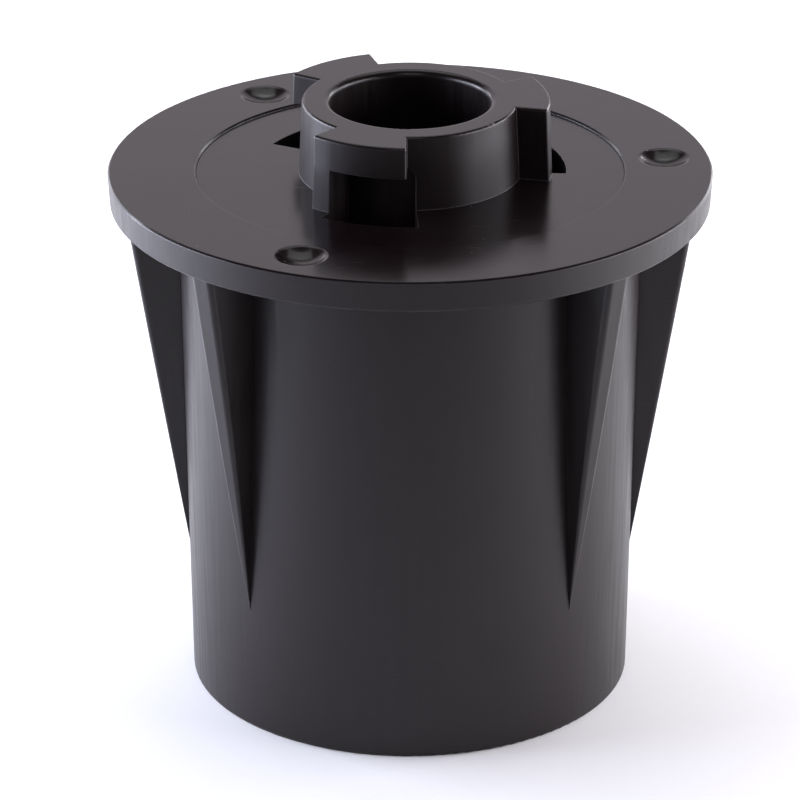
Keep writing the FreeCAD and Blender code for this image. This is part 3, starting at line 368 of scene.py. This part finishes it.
def paint_nodes():
    """Gives every CAD node its finish."""
    finishes = {
        moulded_abs: ("housing_barrel", "housing_flange", "housing_gussets", "neck_cap"),
        satin_abs: ("motor_housing", "motor_cap", "chamber_ring", "base_plate"),
        black_polypropylene: ("intake_screen",),
        grey_polypropylene: ("air_inlet",),
        black_nylon: ("cable_gland", "gland_nut"),
        natural_nylon: ("rotor_hub",),
        white_wheel_nylon: ("needle_wheel",),
        nitrile_rubber: ("neck_o_ring", "base_o_ring", "ring_gasket",
                         "shaft_seat_lower", "shaft_seat_upper"),
        stainless_steel: ("base_screws",),
        laminated_steel: ("stator_core",),
        enamelled_copper: ("stator_coils",),
        potting_resin: ("resin_seal",),
        polished_ceramic: ("shaft", "thrust_washers"),
        ground_ferrite: ("rotor_magnet",),
        carbon_ptfe: ("bush_lower", "bush_upper"),
    }
    for make, names in finishes.items():
        material = make()
        for name in names:
            node = NODES[name]
            node.data.materials.clear()
            node.data.materials.append(material)


# ---------------------------------------------------------------- stage

def add_floor():
    """A wide sheet of white paper."""
    mesh = bpy.data.meshes.new("floor")
    half = 4.0  # metres
    corners = [(-half, -half, 0), (half, -half, 0), (half, half, 0), (-half, half, 0)]
    mesh.from_pydata(corners, [], [(0, 1, 2, 3)])
    floor = bpy.data.objects.new("floor", mesh)
    bpy.context.scene.collection.objects.link(floor)
    material, tree, shader, place = new_material("white_background_paper")
    tooth = cloud(tree, place, 3.0, 2.0)
    tree.links.new(blend(tree, tooth, "#F4F4F4", "#F6F6F6"), shader.inputs["Base Color"])
    shader.inputs["Roughness"].default_value = 0.9
    shader.inputs["Specular IOR Level"].default_value = 0.2
    mesh.materials.append(material)


def add_softbox(name, place, target, width, height, power, colour, spread=180):
    """A large soft light that faces a point; a grid on it narrows its spread, in degrees."""
    light = bpy.data.lights.new(name, "AREA")
    light.shape = "RECTANGLE"
    light.size = width
    light.size_y = height
    light.energy = power
    light.spread = math.radians(spread)
    light.color = linear(colour)[:3]
    lamp = bpy.data.objects.new(name, light)
    lamp.location = place
    lamp.rotation_euler = (Vector(target) - Vector(place)).to_track_quat("-Z", "Y").to_euler()
    bpy.context.scene.collection.objects.link(lamp)


def light_scene():
    """Soft boxes at both sides, above and behind, and a weak one high in front."""
    world = bpy.data.worlds.new("dim_room")
    world.use_nodes = True
    background = world.node_tree.nodes["Background"]
    background.inputs["Color"].default_value = linear("#FFFCFA")
    background.inputs["Strength"].default_value = 0.10
    bpy.context.scene.world = world
    middle = (0.0, 0.0, 0.06)
    upper_middle = (0.0, 0.0, 0.10)
    add_softbox("back_box", (0.0, 1.3, 0.5), (0.0, 0.0, 0.09), 2.6, 1.0, 6.2, "#FFF6FF")
    add_softbox("back_wash", (0.0, 0.42, 0.5), (0.0, 0.34, 0.0), 0.7, 0.3, 0.5, "#FFFFFF", 60)
    add_softbox("top_box", (0.0, 0.28, 0.62), (0.0, 0.14, 0.0), 0.5, 0.4, 0.35, "#FFFFFF", 110)
    add_softbox("front_box", (0.0, -0.8, 0.8), middle, 0.5, 0.5, 1.0, "#FFF8F8")
    add_softbox("left_box", (-0.30, 0.02, 0.12), middle, 0.3, 0.2, 2.1, "#E8ECFF")
    add_softbox("right_box", (0.30, -0.03, 0.12), middle, 0.3, 0.2, 1.3, "#F9F6FF")
    add_softbox("left_rear_box", (-0.35, 0.25, 0.13), upper_middle, 0.4, 0.26, 0.9, "#F0F2FF")
    add_softbox("right_rear_box", (0.35, 0.25, 0.13), upper_middle, 0.4, 0.26, 1.1, "#FAFAFF")


def add_camera():
    """A long lens that looks down at the front from about 24 degrees."""
    data = bpy.data.cameras.new("camera")
    data.sensor_width = 36.0
    data.lens = 222.97
    data.clip_start = 0.05
    data.clip_end = 20.0
    camera = bpy.data.objects.new("camera", data)
    camera.location = (0.0, -0.7645, 0.3870)
    forward = Vector((-0.0020, 0.9143, -0.4050))
    camera.rotation_euler = forward.to_track_quat("-Z", "Y").to_euler()
    bpy.context.scene.collection.objects.link(camera)
    bpy.context.scene.camera = camera


def set_view():
    """Shows colours as they are, with no film curve."""
    scene = bpy.context.scene
    scene.view_settings.view_transform = "Standard"
    scene.view_settings.look = "None"


paint_nodes()
add_floor()
light_scene()
add_camera()
set_view()
